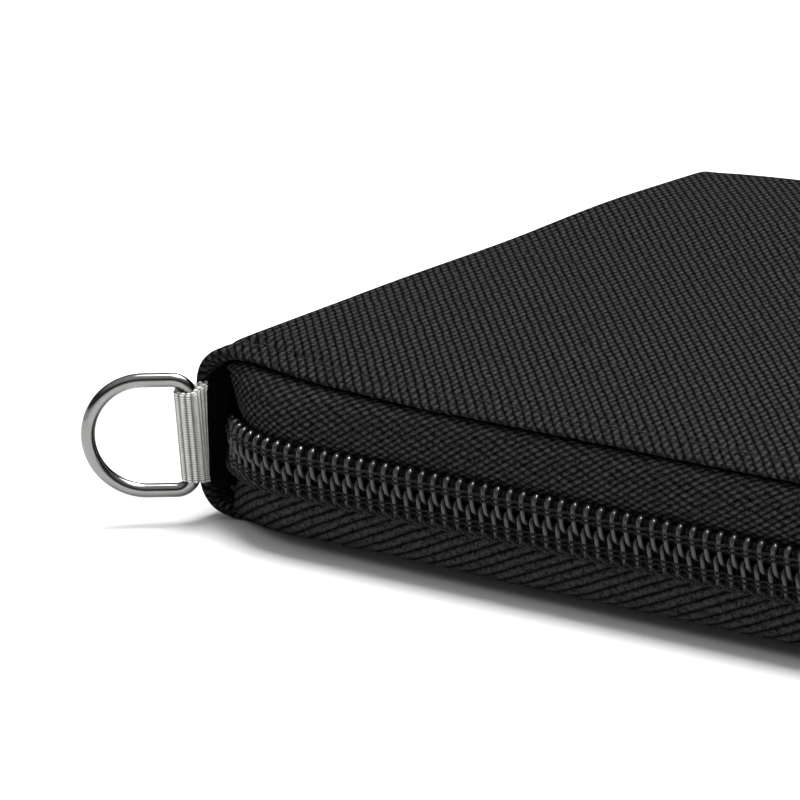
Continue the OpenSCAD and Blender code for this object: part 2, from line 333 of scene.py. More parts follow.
FINE_RIM = rim(0.25)
CHAIN_LENGTH = FINE_RIM[3][-1]


def chain_at(s):
    """Point and outward normal of the chain at distance s."""
    _, chain, normal, along = FINE_RIM
    p = np.stack([np.interp(s, along, chain[:, k]) for k in (0, 1)], -1)
    n = np.stack([np.interp(s, along, normal[:, k]) for k in (0, 1)], -1)
    return p, n / np.linalg.norm(n, axis=-1)[..., None]


# -------- materials


def set_ramp(node, stops):
    """Fills a colour ramp from (position, colour) stops."""
    elements = node.color_ramp.elements
    while len(elements) < len(stops):
        elements.new(0.5)
    for element, (at, tint) in zip(elements, stops):
        element.position = at
        element.color = (*tint, 1)


class Nodes:
    """A material's node tree with short calls."""

    def __init__(self, name):
        self.material = bpy.data.materials.new(name)
        self.material.use_nodes = True
        self.tree = self.material.node_tree
        self.shader = self.tree.nodes["Principled BSDF"]

    def link(self, source, target):
        self.tree.links.new(source, target)

    def math(self, operation, a, b=0.0, c=0.0):
        node = self.tree.nodes.new("ShaderNodeMath")
        node.operation = operation
        for k, value in enumerate((a, b, c)):
            if isinstance(value, bpy.types.NodeSocket):
                self.link(value, node.inputs[k])
            else:
                node.inputs[k].default_value = value
        return node.outputs[0]

    def noise(self, vector, scale, detail=2.0, rough=0.5):
        node = self.tree.nodes.new("ShaderNodeTexNoise")
        self.link(vector, node.inputs["Vector"])
        node.inputs["Scale"].default_value = scale
        node.inputs["Detail"].default_value = detail
        node.inputs["Roughness"].default_value = rough
        return node.outputs["Fac"]

    def colour(self, source, stops):
        """Base colour from a ramp of (position, colour)."""
        node = self.tree.nodes.new("ShaderNodeValToRGB")
        self.link(source, node.inputs[0])
        set_ramp(node, stops)
        self.link(node.outputs[0], self.shader.inputs["Base Color"])

    def uv(self):
        """The UV map as a vector and as u and v, in millimetres."""
        vector = self.tree.nodes.new("ShaderNodeUVMap").outputs[0]
        split = self.tree.nodes.new("ShaderNodeSeparateXYZ")
        self.link(vector, split.inputs[0])
        return vector, split.outputs[0], split.outputs[1]

    def place(self):
        return self.tree.nodes.new("ShaderNodeTexCoord").outputs["Object"]

    def bump(self, height, distance):
        node = self.tree.nodes.new("ShaderNodeBump")
        node.inputs["Distance"].default_value = distance * MM
        self.link(height, node.inputs["Height"])
        self.link(node.outputs[0], self.shader.inputs["Normal"])

    def set(self, **values):
        for key, value in values.items():
            self.shader.inputs[key.replace("_", " ")].default_value = value

    def wave(self, coordinate, period, shift=0.0):
        """0 to 1 cosine wave of a coordinate in millimetres."""
        phase = self.math("MULTIPLY_ADD", coordinate, 2 * math.pi / period, shift)
        return self.math("MULTIPLY_ADD", self.math("COSINE", phase), 0.5, 0.5)

    def turned(self, u, v, degrees):
        """Coordinate along the direction at an angle in the u, v plane."""
        a = math.radians(degrees)
        return self.math("MULTIPLY_ADD", u, math.cos(a), self.math("MULTIPLY", v, math.sin(a)))


def twill(name, dark, light, rib, strand, share, depth, chevron=None):
    """Diagonal weave. rib and strand are (angle of the normal, spacing) of the ribs and of the
    floats across them, share is how much the floats show, and chevron is the height where the
    ribs of a tape turn back."""
    n = Nodes(name)
    vector, u, v = n.uv()
    if chevron is not None:
        v = n.math("ABSOLUTE", n.math("SUBTRACT", v, chevron))
    u = n.math("ADD", u, n.math("MULTIPLY_ADD", n.noise(vector, 0.3, 2), 0.5, -0.25))
    ridge = n.math("POWER", n.wave(n.turned(u, v, rib[0]), rib[1]), 0.4)
    floats = n.wave(n.turned(u, v, strand[0]), strand[1])
    yarn = n.math("MULTIPLY", ridge, n.math("MULTIPLY_ADD", floats, share, 1 - share))
    fibre = n.noise(vector, 4.5, 3, 0.8)
    speck = n.noise(vector, 1.7, 3, 0.8)
    # The colour follows the weave's relief: raised yarn is painted lighter as sheen and the grooves are
    # painted darker as shade, times random fibre tone.
    lit = n.math("MULTIPLY", yarn, n.math("MULTIPLY_ADD", speck, 3.6, -1.0))
    lit = n.math("MULTIPLY", lit, n.math("MULTIPLY_ADD", fibre, 2.0, 0.0))
    middle = tuple((a + b) / 3 for a, b in zip(dark, light))
    n.colour(lit, [(0.05, dark), (0.35, middle), (0.95, light)])
    n.bump(n.math("MULTIPLY_ADD", fibre, 0.6, yarn), depth)
    n.set(Roughness=0.8, Specular_IOR_Level=0.0)
    return n.material


def plain_weave(name, dark, light, pitch, depth, gloss=0.2):
    """Fine over-and-under weave."""
    n = Nodes(name)
    vector, u, v = n.uv()
    over = n.math("MULTIPLY", n.wave(u, pitch), n.wave(v, 2 * pitch))
    under = n.math("MULTIPLY", n.wave(v, pitch), n.wave(u, 2 * pitch, math.pi))
    yarn = n.math("MAXIMUM", over, under)
    speck = n.noise(vector, 0.8, 3, 0.6)
    n.colour(n.math("MULTIPLY", yarn, n.math("ADD", speck, 0.4)), [(0.05, dark), (0.8, light)])
    n.bump(yarn, depth)
    n.set(Roughness=0.6, Sheen_Weight=0.03, Sheen_Roughness=0.4, Specular_IOR_Level=gloss)
    return n.material


def ribbed(name, dark, light, pitch, depth):
    """Narrow ribbon with ribs across it, for the pockets' bindings."""
    n = Nodes(name)
    vector, u, v = n.uv()
    rib = n.wave(u, pitch)
    ply = n.wave(v, 0.42)
    yarn = n.math("MULTIPLY", rib, n.math("MULTIPLY_ADD", ply, 0.5, 0.5))
    lit = n.math("MULTIPLY", yarn, n.math("ADD", n.noise(vector, 0.9, 2), 0.4))
    n.colour(lit, [(0.05, dark), (0.85, light)])
    n.bump(yarn, depth)
    n.set(Roughness=0.55, Sheen_Weight=0.03, Specular_IOR_Level=0.25)
    return n.material


def thread(name, dark, light, twist):
    """Twisted yarn. u runs along it in millimetres, v round it in turns."""
    n = Nodes(name)
    _, u, v = n.uv()
    strand = n.wave(n.math("MULTIPLY_ADD", v, twist, u), twist)
    n.colour(strand, [(0.1, dark), (0.85, light)])
    n.bump(strand, 0.03)
    n.set(Roughness=0.7, Specular_IOR_Level=0.05)
    return n.material


def moulded(name, tint, rough, grain, gloss=0.0):
    """Drawn nylon or pressed card with a faint waviness. gloss is the weight of a glossy skin."""
    n = Nodes(name)
    mottle = n.noise(n.place(), 900, 3)
    n.colour(mottle, [(0.3, tuple(c * 0.75 for c in tint)), (0.7, tint)])
    n.bump(n.noise(n.place(), 2600, 2), grain)
    n.set(Roughness=rough, Specular_IOR_Level=0.25, Coat_Weight=gloss, Coat_Roughness=0.12)
    return n.material


def plated(name, tint, rough, clouding):
    """Polished plating with fine scratches and slight clouding."""
    n = Nodes(name)
    cloud = n.noise(n.place(), 240, 4, 0.6)
    n.colour(cloud, [(0.35, tuple(c * 0.88 for c in tint)), (0.65, tint)])
    spread = n.math("MULTIPLY_ADD", cloud, clouding, rough - clouding / 2)
    n.link(spread, n.shader.inputs["Roughness"])
    n.bump(n.noise(n.place(), 1500, 3, 0.7), 0.003)
    n.set(Metallic=1.0)
    return n.material


def webbing_material():
    """Light grey ribbon. v counts its ribs, u runs along each rib."""
    n = Nodes("webbing_ribbon")
    vector, u, v = n.uv()
    tick = n.wave(u, 0.21)
    crest = n.math("POWER", n.wave(v, 1.0), 0.6)
    tint = n.noise(vector, 1.1, 3, 0.6)
    ticks = n.math("MULTIPLY_ADD", tick, 0.65, 0.35)
    ribs = n.math("MULTIPLY_ADD", crest, 0.8, 0.2)
    # Colour follows the ribs: painted shade in the grooves between ribs and ticks, painted highlight on
    # their crests, with random tint.
    shade = n.math("MULTIPLY", ticks, ribs)
    shade = n.math("MULTIPLY", shade, n.math("MULTIPLY_ADD", tint, 0.5, 0.75))
    n.colour(shade, [(0.1, (0.07, 0.067, 0.06)), (0.4, (0.36, 0.355, 0.34)), (0.85, (0.88, 0.87, 0.85))])
    n.bump(n.math("MULTIPLY", tick, crest), 0.06)
    n.set(Roughness=0.65, Sheen_Weight=0.1, Specular_IOR_Level=0.25)
    return n.material


BLACK = (0.0012, 0.0012, 0.0013)
COVER = twill(
    "cover_twill", BLACK, (0.044, 0.043, 0.045),
    rib=(43, 0.886), strand=(-2, 0.93), share=0.65, depth=0.16,
)
TAPE_UPPER = twill(
    "zip_tape_upper", BLACK, (0.052, 0.048, 0.049),
    rib=(58, 0.62), strand=(112, 0.8), share=0.6, depth=0.1, chevron=3.2,
)
TAPE_LOWER = twill(
    "zip_tape_lower", BLACK, (0.045, 0.042, 0.043),
    rib=(-66, 0.95), strand=(24, 0.5), share=0.15, depth=0.14,
)
LINING = plain_weave("lining_weave", (0.01, 0.01, 0.012), (0.05, 0.051, 0.058), 0.3, 0.04)
# Much darker than the other black fabrics: painted shade for the hollow inside the spine's end.
SHADE_PATCH = plain_weave("shade_patch_weave", (0.0006, 0.0006, 0.0006), (0.004, 0.0038, 0.0035), 0.3, 0.03, 0.0)
POCKET = plain_weave("pocket_weave", (0.008, 0.008, 0.009), (0.036, 0.037, 0.041), 0.35, 0.05)
BINDING = ribbed("binding_ribbon", (0.004, 0.004, 0.004), (0.026, 0.026, 0.027), 0.5, 0.07)
THREAD = thread("sewing_thread", (0.001, 0.001, 0.001), (0.007, 0.007, 0.007), 0.35)
ZIP_THREAD = thread("zip_thread", (0.004, 0.004, 0.004), (0.03, 0.029, 0.029), 0.3)
CORD = thread("zip_cord", (0.002, 0.002, 0.002), (0.012, 0.012, 0.012), 0.5)
COIL = moulded("zip_nylon", (0.02, 0.019, 0.0195), 0.5, 0.004, 0.55)
RING = plated("ring_plating", (0.23, 0.225, 0.22), 0.1, 0.06)
SLIDER = plated("zip_plating", (0.12, 0.12, 0.125), 0.26, 0.12)
BOARD = moulded("board_card", (0.3, 0.3, 0.29), 0.8, 0.02)
WEBBING = webbing_material()

# -------- cover fabric

ARC = WRAP_R * math.pi / 2
A_MIN = -(ARC + MID_Z - WRAP_R)
A_CORNER = CORNER_X - EDGE_X0
A_END = END_X - EDGE_X0


def cover_point(a, y, lift):
    """Point of the front cover. a is 0 where the wrap starts, A_MIN at the spine's middle."""
    a, y, lift = np.broadcast_arrays(a, y, lift)
    phi = np.clip(-a / WRAP_R, 0, math.pi / 2)
    wall = np.clip(-a - ARC, 0, None)
    x = EDGE_X0 + np.clip(a, 0, None) - (WRAP_R + lift) * np.sin(phi)
    z = TOP - WRAP_R + (WRAP_R + lift) * np.cos(phi) - wall
    return np.stack([x, y, z], -1)


def cover_half(a):
    """Half width of the cover at a, short of the rounded corners."""
    a = np.asarray(a, float)
    spine = SPINE_HALF + SPINE_FLARE
    return edge_y(EDGE_X0 + np.clip(a, 0, None)) + (spine - edge_y(EDGE_X0)) * smooth((2 - a) / 6)


def hem_thickness(a):
    """Flat hem along the zip, rolled hem at the spine's ends."""
    return HEM_T + (SPINE_HEM_T - HEM_T) * smooth((1.5 - np.asarray(a, float)) / 4)


def edge_distance(a, y):
    """Distance from the cover's edge, inwards."""
    straight = np.minimum(cover_half(a) - np.abs(y), A_END - a)
    over_a, over_y = a - A_CORNER, np.abs(y) - CORNER_Y
    rounded_off = CORNER_R - np.hypot(np.clip(over_a, 0, None), np.clip(over_y, 0, None))
    return np.where((over_a > 0) & (over_y > 0), rounded_off, straight)


def cover_lift(a, y, front):
    """Relief: edges drawn down, a sunk stitch line, a full hem, and soft unevenness."""
    d = np.clip(edge_distance(a, y), 0, None)
    along = np.where(np.abs(y) > CORNER_Y, a, y)
    start = smooth((a + 3) / 4) if front else smooth((a - 1) / 24)
    far = front * smooth(y / 30)
    drawn = -CROWN * start * np.exp(-d / (3.5 - 1.5 * far + 8.5 * smooth(a / 30) * (1 - far)))
    pucker = 0.5 + 0.5 * np.cos(2 * math.pi * along / STITCH)
    deep = 0.05 + 0.45 * smooth((19 - a) / 15)
    groove = -deep * np.exp(-(((d - STITCH_IN) / 0.5) ** 2)) * (0.3 + 0.7 * pucker)
    ripple = (0.08 * wobble(along, 3, 6.0) + 0.05 * wobble(along, 5, 2.3)) * np.exp(-d / 6)
    uneven = 0.12 * wobble(a, 8, 23.0) * wobble(y, 9, 19.0) * smooth(d / 12)
    swell = (0.5 + 0.5 * far) * smooth(d / 5) + (0.4 + 0.3 * far) * smooth(d / 34)
    pillow = front * smooth((a + 5) / 6) * swell
    bulge = 0.3 * smooth(-(a + 2) / 4) * np.exp(-d / 4)
    return drawn + groove + ripple + uneven + pillow + bulge


def spread_rows(half, count):
    """Positions from -half to half, dense near both ends."""
    t = np.linspace(-1, 1, count)
    near, knee = 8.0, 0.4
    outer = half - near + (np.abs(t) - knee) / (1 - knee) * near
    return np.where(np.abs(t) < knee, t / knee * (half - near), np.sign(t) * outer)


def cover_columns(inset):
    """Values of a across the cover, with the half width of each column inside its inset."""
    far = np.linspace(0, math.pi / 2, 34)
    r = CORNER_R - inset
    wrap, face = np.linspace(A_MIN, 0, 34)[:-1], np.linspace(0, A_CORNER, 170)[:-1]
    a = np.concatenate([wrap, face, A_CORNER + r * np.sin(far)])
    half = cover_half(a) - np.maximum(inset, hem_thickness(a) / 2)
    over = a > A_CORNER
    half[over] = CORNER_Y + np.sqrt(np.clip(r**2 - (a[over] - A_CORNER) ** 2, 0, None))
    return a, half


def column_grid(a, columns):
    """Points (a, y) from the y values of each column."""
    return np.concatenate([np.stack([np.full(len(y), at), y], 1) for at, y in zip(a, columns)])


def border_loop(rows, cols):
    """Indices round three sides of a grid of cols columns of rows points, from the first column."""
    lower = [i * rows for i in range(cols)]
    end = [(cols - 1) * rows + j for j in range(1, rows)]
    upper = [i * rows + rows - 1 for i in range(cols - 2, -1, -1)]
    return lower + end + upper


def outward(border):
    """Outward unit normals of a border in the pattern's plane."""
    out = right_normals(border)
    out[0], out[-1] = [0, -1], [0, 1]
    return out


def cover_mesh(front):
    """(verts, faces, uv) of one cover with its half of the spine and its turned hem."""
    rows = 117
    a, half = cover_columns(HEM_T / 2)
    flat = column_grid(a, [spread_rows(h, rows) for h in half])
    verts = [cover_point(flat[:, 0], flat[:, 1], cover_lift(flat[:, 0], flat[:, 1], front))]
    uv = [flat]
    faces = grid_faces(len(a), rows)
    previous = np.array(border_loop(rows, len(a)))
    border = flat[previous]
    out = outward(border)
    lift = cover_lift(border[:, 0], border[:, 1], front)
    radius = hem_thickness(border[:, 0]) / 2
    start = len(flat)
    turns = [(math.radians(t), 0.0) for t in (65, 40, 12, -20, -55, -90)] + [(-math.pi / 2, -2.2)]
    for turn, inward in turns:
        moved = border + out * (radius * math.cos(turn) + inward)[:, None]
        sunk = lift - radius * (1 - math.sin(turn))
        verts.append(cover_point(moved[:, 0], moved[:, 1], sunk))
        uv.append(border + out * (radius * (math.pi / 2 - turn) - inward)[:, None])
        row = start + np.arange(len(border))
        faces += np.stack([previous[:-1], row[:-1], row[1:], previous[1:]], 1).tolist()
        previous, start = row, start + len(border)
    return np.concatenate(verts), faces, np.concatenate(uv)


def fold_blend(piece):
    """Bakes a piece's placement into its mesh."""
    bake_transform(piece)


def add_cover(front):
    name = "front" if front else "back"
    verts, faces, uv = cover_mesh(front)
    piece = new_mesh(name + "_cover", verts if front else mirrored(verts), faces, uv, COVER)
    fold_blend(piece)
    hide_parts(name + "_cover_fabric", "spine_fabric")


def stitch_line():
    """The stitch row in the pattern's plane, from the spine's middle round to it again."""
    a = np.linspace(A_MIN + 0.5, A_CORNER, 500)
    side = np.stack([a, STITCH_IN - cover_half(a)], 1)
    b = np.linspace(-math.pi / 2, 0, 60)[1:]
    r = CORNER_R - STITCH_IN
    arc = np.stack([A_CORNER + r * np.cos(b), r * np.sin(b) - CORNER_Y], 1)
    half = np.concatenate([side, arc])
    return np.concatenate([half, half[::-1] * [1, -1]])


def add_stitching(front):
    """Lockstitches along a cover's edge."""
    line = stitch_line()
    t = np.linspace(0.08, 0.92, 8)
    parts = []
    for k in range(int(lengths(line)[-1] / STITCH)):
        p = at_length(line, (k + t) * STITCH)
        arch = 0.16 * np.sin(math.pi * t) ** 0.5 - 0.2
        path = cover_point(p[:, 0], p[:, 1], cover_lift(p[:, 0], p[:, 1], front) + arch)
        parts.append(tube(path if front else mirrored(path), 0.14, 6, up=(0.3, 0.2, 1)))
    name = "front" if front else "back"
    piece = new_mesh(name + "_edge_stitching", *merge(parts), THREAD)
    fold_blend(piece)


# -------- lining

LINING_INSET = 2.4
LINING_LIFT = LINING_HIGH[2] - TOP
LINING_T = LINING_HIGH[2] - LINING_LOW[2]
SPINE_LINING_LIFT = SPINE_X - box_mm("spine_lining")[0][0]


def lining_mesh(front):
    """(verts, faces, uv) of the lining of one half, with its half of the spine."""
    rows = 61
    a, half = cover_columns(LINING_INSET)
    flat = column_grid(a, [np.linspace(-h, h, rows) for h in half])
    base = SPINE_LINING_LIFT + (LINING_LIFT - SPINE_LINING_LIFT) * smooth((flat[:, 0] + ARC) / ARC)
    soft = 0.08 * wobble(flat[:, 0], 12, 9.0) * wobble(flat[:, 1], 13, 11.0)
    inner = cover_point(flat[:, 0], flat[:, 1], base - LINING_T + soft)
    outer = cover_point(flat[:, 0], flat[:, 1], base)
    faces = closed_layers(grid_faces(len(a), rows), border_loop(rows, len(a)), len(flat))
    return np.concatenate([inner, outer]), faces, np.concatenate([flat, flat])


def add_lining(front):
    name = "front" if front else "back"
    verts, faces, uv = lining_mesh(front)
    piece = new_mesh(name + "_lining_fabric", verts if front else mirrored(verts), faces, uv, LINING)
    fold_blend(piece)
    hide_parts(name + "_lining", "spine_lining")


# -------- zip tapes

HEM_TOP = TOP - CROWN
TAPE_T = 0.45
# Outer face of the front tape: share of the way from edge to chain, outward offset, height
TAPE_FACE = [
    (0.0, -6.0, HEM_TOP - 0.72),
    (0.0, -2.0, HEM_TOP - 0.72),
    (0.0, -0.75, HEM_TOP - 0.74),
    (0.12, -0.22, HEM_TOP - 0.98),
    (0.4, -0.02, HEM_TOP - 1.75),
    (0.7, -0.05, HEM_TOP - 3.0),
    (0.95, -0.25, HEM_TOP - 4.6),
    (1.0, -0.6, CHAIN_HIGH + 0.55),
    (1.0, -0.9, CHAIN_HIGH + 0.05),
    (1.0, -0.95, CHAIN_HIGH - 0.8),
    (1.0, -0.95, CHAIN_Z + 0.35),
]
# The same for the back tape, which sags over its cover's hem
TAPE_FACE_BACK = [
    (0.0, -6.0, CROWN + 0.72),
    (0.0, -2.0, CROWN + 0.72),
    (0.0, -0.75, CROWN + 0.7),
    (0.1, -0.15, CROWN + 0.55),
    (0.3, 0.05, CROWN + 0.35),
    (0.5, 0.12, CROWN + 0.6),
    (0.72, 0.12, CROWN + 1.4),
    (0.9, -0.05, CROWN + 2.8),
    (1.0, -0.55, CHAIN_LOW - 0.65),
    (1.0, -0.9, CHAIN_LOW - 0.05),
    (1.0, -0.95, CHAIN_LOW + 0.8),
    (1.0, -0.95, CHAIN_Z - 0.35),
]


def wrap_drop(edge):
    """How far the tape's hem sinks where it follows the inside of the wrap."""
    reach = WRAP_R - 1.4
    past = np.clip(EDGE_X0 - edge[:, 0], 0, reach * 0.95)
    return reach - np.sqrt(reach**2 - past**2)


def tape_mesh(front):
    """(verts, faces, uv) of one zip tape."""
    edge, chain, normal, along = rim(0.6)
    profile = spline(TAPE_FACE if front else TAPE_FACE_BACK, 4)
    turn = 1 if front else -1
    sunk = wrap_drop(edge) * -turn
    if not front:
        sunk = sunk - CROWN * (1 - smooth((edge[:, 0] - EDGE_X0 - 1) / 24))
    outer, inner = [], []
    for t, d, z in profile:
        line = edge * (1 - t) + chain * t
        height = z + sunk * (1 - t)
        under = TAPE_T * smooth(t * 4)
        outer.append(np.column_stack([line + normal * d, height]))
        inner.append(np.column_stack([line + normal * (d - under), height - turn * (TAPE_T - under)]))
    ring = np.stack(outer + inner[::-1])
    m, n = ring.shape[:2]
    across = lengths(np.column_stack([profile[:, 0] * COIL_OUT + profile[:, 1], profile[:, 2]]))
    uv = np.stack([np.repeat(along, m), np.tile(np.concatenate([across, across[::-1]]), n)], 1)
    faces = grid_faces(n, m, close_cols=True)
    last = (n - 1) * m
    for k in range(m // 2 - 1):
        end = [k, m - 1 - k, m - 2 - k, k + 1]
        faces += [end, [last + j for j in end]]
    return ring.transpose(1, 0, 2).reshape(-1, 3), faces, uv


def add_tape(front):
    name = "front" if front else "back"
    piece = new_mesh(name + "_tape", *tape_mesh(front), TAPE_UPPER if front else TAPE_LOWER)
    attach(piece, name + "_half", [name + "_zip_tape"])


# -------- zip coils

# One turn of the front coil: along the chain, outwards, and up from the chain's middle
COIL_TURN = [
    (0.00, 0.05, 2.62), (0.06, 0.5, 2.36), (0.1, 0.63, 1.85), (0.18, 0.64, 1.2), (0.3, 0.64, 0.5),
    (0.41, 0.58, -0.02), (0.5, 0.3, -0.3), (0.56, 0.0, -0.36), (0.62, -0.3, -0.3), (0.7, -0.56, 0.0),
    (0.9, -0.7, 0.8), (1.12, -0.75, 1.7), (1.38, -0.55, 2.3),
]
COIL_START = 0.8
# The front coil ends before the slider's place at rest
COIL_END = {"front": CHAIN_LENGTH - 23.5, "back": CHAIN_LENGTH - 13.5}
LOWER_SHIFT = 0.12
STEP = COIL_PITCH / 8
# Heights of the two seams over a coil, and the radii of their thread, the loops and the cord
SEAM_HEIGHTS = (1.2, 1.68)
SEAM_R = 0.17
LOOP_R = 0.15
CORD_R = 1.0


def coil_path(start, turns, side):
    """Path of one coil. side is 1 for the front half. The back coil is turned half a turn."""
    shifts = np.arange(turns)[:, None, None] * [COIL_PITCH, 0, 0]
    p = spline((np.array(COIL_TURN)[None] + shifts).reshape(-1, 3), 2)
    s = start + p[:, 0] if side > 0 else start + turns * COIL_PITCH + LOWER_SHIFT - p[:, 0]
    base, normal = chain_at(s)
    path = np.column_stack([base + normal * p[:, 1:2], CHAIN_Z + side * p[:, 2]])
    return path, np.column_stack([normal, np.zeros(len(normal))])


def seam_thread(start, end, height, phase):
    """Thread sewn over the coil: it crosses each leg and dips between legs."""
    s = np.arange(start, end, STEP)
    base, normal = chain_at(s)
    over = (0.5 + 0.5 * np.cos(2 * math.pi * (s - start - phase) / COIL_PITCH)) ** 2
    lie = 0.28 + 0.66 * over
    return np.column_stack([base + normal * lie[:, None], CHAIN_Z + height + 0.05 * over])


def loop_stitch(at, side):
    """One loop of the chain stitch along the coil's outer edge."""
    t = np.linspace(0, 1, 9)
    base, normal = chain_at(at + t * COIL_PITCH * 1.12)
    drop = 1.95 + 0.7 * np.sin(t * math.pi / 2)
    lie = 1.0 - 0.2 * t**2 + 0.1 * np.sin(math.pi * t)
    return np.column_stack([base + normal * lie[:, None], CHAIN_Z + side * drop])


def coil_sewing(start, end, side):
    """Threads that hold one coil on its tape."""
    phase = 0.14 if side > 0 else LOWER_SHIFT - 0.2
    parts = [tube(seam_thread(start, end, side * h, phase), SEAM_R, 6) for h in SEAM_HEIGHTS]
    if side < 0:
        count = int((end - start) / COIL_PITCH)
        parts += [tube(loop_stitch(start + 0.35 + k * COIL_PITCH, side), LOOP_R, 6) for k in range(count)]
    return merge(parts)


def coil_core(start, end, side):
    """Cord that fills the coil."""
    base, normal = chain_at(np.arange(start, end, STEP * 2))
    path = np.column_stack([base - normal * 0.18, np.full(len(base), CHAIN_Z + side * 1.48)])
    return tube(path, CORD_R, 8), normal


def flattened(part, normal, keep, sides=8):
    """Flattens a tube across the chain."""
    verts, faces, uv = part
    rings = verts.reshape(-1, sides, 3)
    middle = rings.mean(1, keepdims=True)
    across = np.column_stack([normal, np.zeros(len(normal))])[:, None]
    reach = ((rings - middle) * across).sum(-1, keepdims=True)
    return (rings - across * reach * (1 - keep)).reshape(-1, 3), faces, uv


def add_coil(front):
    name, side = ("front", 1) if front else ("back", -1)
    turns = int((COIL_END[name] - COIL_START) / COIL_PITCH)
    end = COIL_START + turns * COIL_PITCH
    path, up = coil_path(COIL_START, turns, side)
    away = np.abs(path[:, 2] - CHAIN_Z)
    wire = tube(path, WIRE + 0.09 * smooth((away - 2.1) / 0.4), 10, up=up)
    coil = new_mesh(name + "_coil", *wire, COIL)
    attach(coil, name + "_half", [name + "_zip_coil"])
    sewing = new_mesh(name + "_coil_thread", *coil_sewing(COIL_START, end, side), ZIP_THREAD)
    attach(sewing, name + "_half")
    core = new_mesh(name + "_coil_cord", *flattened(*coil_core(COIL_START, end, side), 0.35), CORD)
    attach(core, name + "_half")


# -------- ring and webbing

# Radius of the ring's wire, how far it reaches from its bar, and which way
RING_WIRE = 0.8
RING_DEPTH = 12.0
RING_ANGLE = math.radians(-142.4)
RING_WAY = np.array([math.cos(RING_ANGLE), math.sin(RING_ANGLE), 0])
RING_LOW, RING_HIGH = box_mm("d_ring")
BAR_HALF = (RING_HIGH[2] - RING_LOW[2]) / 2 - RING_WIRE
WEB_LOW, WEB_HIGH = box_mm("webbing_loop")
WEB_HALF = (WEB_HIGH[2] - WEB_LOW[2]) / 2
# Thickness of the webbing and spacing of its ribs
WEB_T = 0.78
RIB = 0.62
TAIL_END = box_mm("webbing_tail")[1][1]


def ring_outline():
    """Closed middle line of the ring: straight bar, round corners, short legs and a round bow."""
    corner, bow = 2.0, RING_DEPTH - RING_WIRE - BAR_HALF
    quarter = np.linspace(0, math.pi / 2, 9)[1:]
    half = [(0, z) for z in np.linspace(0, BAR_HALF - corner, 8)]
    half += [(corner * (1 - math.cos(t)), BAR_HALF - corner * (1 - math.sin(t))) for t in quarter]
    half += [(x, BAR_HALF) for x in np.linspace(corner, bow, 6)[1:]]
    arc = np.linspace(0, math.pi / 2, 22)[1:]
    half += [(bow + BAR_HALF * math.sin(t), BAR_HALF * math.cos(t)) for t in arc]
    half = np.array(half)
    return np.concatenate([half, half[-2:0:-1] * [1, -1]])


def add_ring():
    flat = ring_outline()
    upright = np.array([0, 0, 1.0]) + RING_WAY * 0.02
    line = BAR + flat[:, :1] * RING_WAY + flat[:, 1:] * upright
    wire = tube(line, RING_WIRE, 24, closed=True, up=np.cross(RING_WAY, [0, 0, 1.0]))
    piece = new_mesh("ring", *wire, RING)
    attach(piece, "ring", ["d_ring"])


def webbing_line():
    """Plan of the webbing's middle line: out of the spine, round the bar and back in."""
    wrap = RING_WIRE + 0.06 + WEB_T / 2
    mouth = np.array([ROOT[0] - 1.55, ROOT[1] - 0.9])
    inside = np.array([[ROOT[0], TAIL_END], [ROOT[0], ROOT[1] + 4], [ROOT[0] - 0.6, ROOT[1] + 1.2]])
    run = BAR[:2] - mouth
    heading = math.atan2(run[1], run[0])
    side = np.array([-math.sin(heading), math.cos(heading)])
    turn = heading + np.linspace(1.35, -1.35, 11)
    round_bar = BAR[:2] + wrap * np.stack([np.cos(turn), np.sin(turn)], 1)
    out = [np.concatenate([inside, [mouth]]) + sign * side * WEB_T / 2 for sign in (1, -1)]
    return np.concatenate([out[0], round_bar, out[1][::-1]])


def webbing_mesh():
    """Ribbed ribbon: a rounded cord across the width for each rib, with cord loops at the edges."""
    line = spline(webbing_line(), 24)
    total = lengths(line)[-1]
    s = np.linspace(0, total, int(total / RIB) * 8)
    p = at_length(line, s)
    normal = right_normals(p)
    crest = np.abs(np.cos(math.pi * s / RIB)) ** 0.9
    flare = 0.93 + 0.1 * smooth((p[:, 1] - BAR[1] + 1.2) / 3)
    lean = RING_WAY[:2] * 0.06 * smooth((ROOT[1] - 1.1 - p[:, 1]) / 1.5)[:, None]
    rows = np.concatenate([[-1.0], np.linspace(-0.985, 0.985, 34), [1.0]])
    verts, uv = [], []
    for sign in (1, -1):
        for row in rows[::sign]:
            half = (WEB_T / 2 - 0.15 + 0.15 * crest) * (0.3 if abs(row) == 1 else 1)
            z = MID_Z + row * WEB_HALF * flare + np.sign(row) * 0.16 * crest * (abs(row) > 0.97)
            place = p + normal * (sign * half)[:, None] + lean * (z - MID_Z)[:, None]
            verts.append(np.column_stack([place, z]))
            uv.append(np.column_stack([np.full(len(s), row * WEB_HALF), s / RIB]))
    around = len(verts)
    verts = np.stack(verts).transpose(1, 0, 2).reshape(-1, 3)
    uv = np.stack(uv).transpose(1, 0, 2).reshape(-1, 2)
    return verts, grid_faces(len(s), around, close_cols=True), uv


def add_webbing():
    piece = new_mesh("ring_webbing", *webbing_mesh(), WEBBING)
    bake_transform(piece)
    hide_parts("webbing_loop", "webbing_tail")


